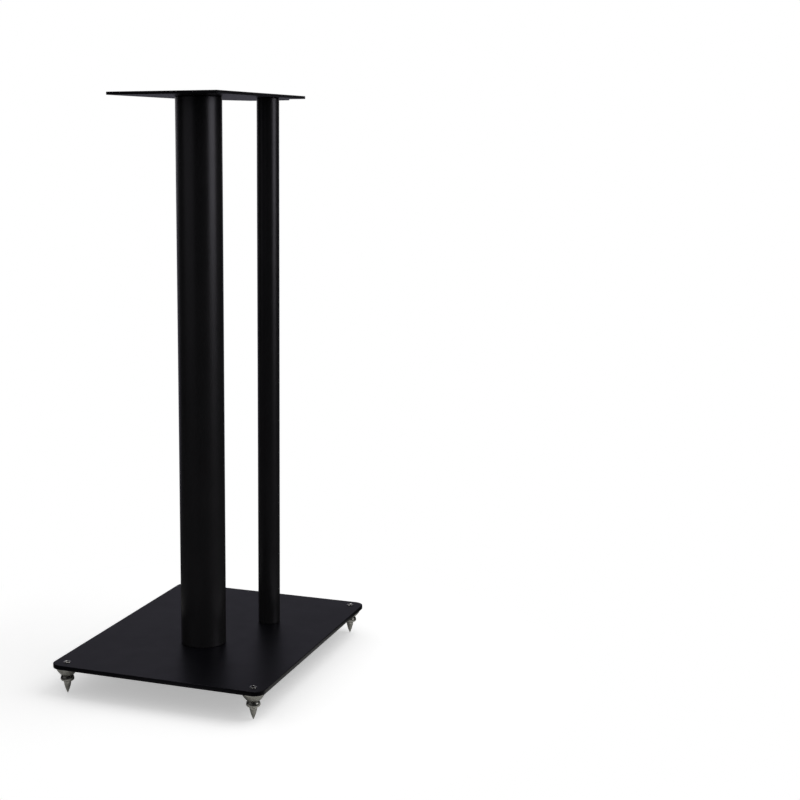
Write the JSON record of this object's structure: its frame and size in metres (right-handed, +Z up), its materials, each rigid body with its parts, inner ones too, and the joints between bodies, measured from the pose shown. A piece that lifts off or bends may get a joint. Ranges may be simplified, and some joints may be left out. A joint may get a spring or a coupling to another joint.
{
  "type": "loudspeaker floor stand",
  "caption": "Black steel speaker stand: flat base on levelling spikes, a thick and a thin round column, and a flat top plate.",
  "frame": {"origin": "on the floor, under the middle of the base plate", "axes": "+Z up, -Y is the front with the thick column, +X to the right seen from the front"},
  "size_m": [0.244, 0.337, 0.635],
  "materials": {
    "plate_coating": "satin black powder coat",
    "column_coating": "satin black powder coat",
    "spike_metal": "turned, nickel plated",
    "fixing_metal": "bright zinc plated",
    "screw_metal": "black oxide",
    "plug_metal": "bare turned steel"
  },
  "bodies": {
    "stand": {"base_plate": "plate_coating", "top_plate": "plate_coating", "main_column": "column_coating", "main_column_lower_plug": "plug_metal", "main_column_upper_plug": "plug_metal", "main_column_flat_washer": "fixing_metal", "main_column_spring_washer": "fixing_metal", "main_column_bolt": "fixing_metal", "main_column_screw": "screw_metal", "rear_column": "column_coating", "rear_column_lower_plug": "plug_metal", "rear_column_upper_plug": "plug_metal", "rear_column_flat_washer": "fixing_metal", "rear_column_spring_washer": "fixing_metal", "rear_column_bolt": "fixing_metal", "rear_column_screw": "screw_metal", "collar_front_left": "spike_metal", "collar_front_right": "spike_metal", "collar_back_right": "spike_metal", "collar_back_left": "spike_metal"},
    "spike_front_left": {"spike_front_left": "spike_metal"},
    "lock_ring_front_left": {"lock_ring_front_left": "spike_metal"},
    "spike_front_right": {"spike_front_right": "spike_metal"},
    "lock_ring_front_right": {"lock_ring_front_right": "spike_metal"},
    "spike_back_right": {"spike_back_right": "spike_metal"},
    "lock_ring_back_right": {"lock_ring_back_right": "spike_metal"},
    "spike_back_left": {"spike_back_left": "spike_metal"},
    "lock_ring_back_left": {"lock_ring_back_left": "spike_metal"}
  },
  "joints": [
    {"name": "spike_front_left_height", "type": "slide", "parent": "stand", "child": "spike_front_left", "axis": [0, 0, -1], "range_m": [-0.004, 0.004]},
    {"name": "lock_ring_front_left_back_off", "type": "slide", "parent": "stand", "child": "lock_ring_front_left", "axis": [0, 0, -1], "range_m": [0, 0.003]},
    {"name": "spike_front_right_height", "type": "slide", "parent": "stand", "child": "spike_front_right", "axis": [0, 0, -1], "range_m": [-0.004, 0.004]},
    {"name": "lock_ring_front_right_back_off", "type": "slide", "parent": "stand", "child": "lock_ring_front_right", "axis": [0, 0, -1], "range_m": [0, 0.003]},
    {"name": "spike_back_right_height", "type": "slide", "parent": "stand", "child": "spike_back_right", "axis": [0, 0, -1], "range_m": [-0.004, 0.004]},
    {"name": "lock_ring_back_right_back_off", "type": "slide", "parent": "stand", "child": "lock_ring_back_right", "axis": [0, 0, -1], "range_m": [0, 0.003]},
    {"name": "spike_back_left_height", "type": "slide", "parent": "stand", "child": "spike_back_left", "axis": [0, 0, -1], "range_m": [-0.004, 0.004]},
    {"name": "lock_ring_back_left_back_off", "type": "slide", "parent": "stand", "child": "lock_ring_back_left", "axis": [0, 0, -1], "range_m": [0, 0.003]}
  ]
}
